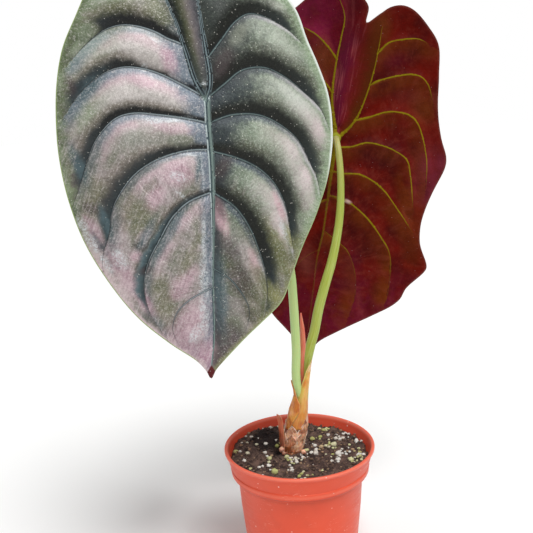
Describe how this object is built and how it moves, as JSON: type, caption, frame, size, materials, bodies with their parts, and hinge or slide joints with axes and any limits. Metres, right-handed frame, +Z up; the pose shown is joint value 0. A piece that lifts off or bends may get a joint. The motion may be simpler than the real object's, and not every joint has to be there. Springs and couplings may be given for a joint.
{
  "type": "potted alocasia plant",
  "caption": "Potted alocasia with quilted coppery leaves, maroon undersides, green stalks and a red new leaf, in perlite-flecked soil in a small terracotta-coloured plastic pot.",
  "frame": {"origin": "middle of the pot's flat bottom", "axes": "+Z up along the pot's axis; the front leaf's upper face looks along -Y; +X to the right as seen from the front"},
  "size_m": [0.1547, 0.0891, 0.2691],
  "materials": {
    "pot": "satin terracotta-coral plastic",
    "soil": "damp dark peat with white perlite grains",
    "rhizome": "pinkish-brown papery scales",
    "petiole_front": "smooth pale green skin",
    "petiole_back": "smooth yellow-green skin",
    "leaf_front": "metallic grey-green to coppery pink, quilted",
    "leaf_back": "satin maroon underside with olive veins",
    "new_leaf": "salmon-red rolled leaf",
    "sheath_right": "golden papery sheath",
    "sheath_left": "orange-brown papery sheath"
  },
  "bodies": {
    "root": {"pot": "pot", "soil": "soil", "rhizome": "rhizome", "petiole_front": "petiole_front", "petiole_back": "petiole_back", "leaf_front": "leaf_front", "leaf_back": "leaf_back", "new_leaf": "new_leaf", "sheath_right": "sheath_right", "sheath_left": "sheath_left"}
  },
  "joints": []
}
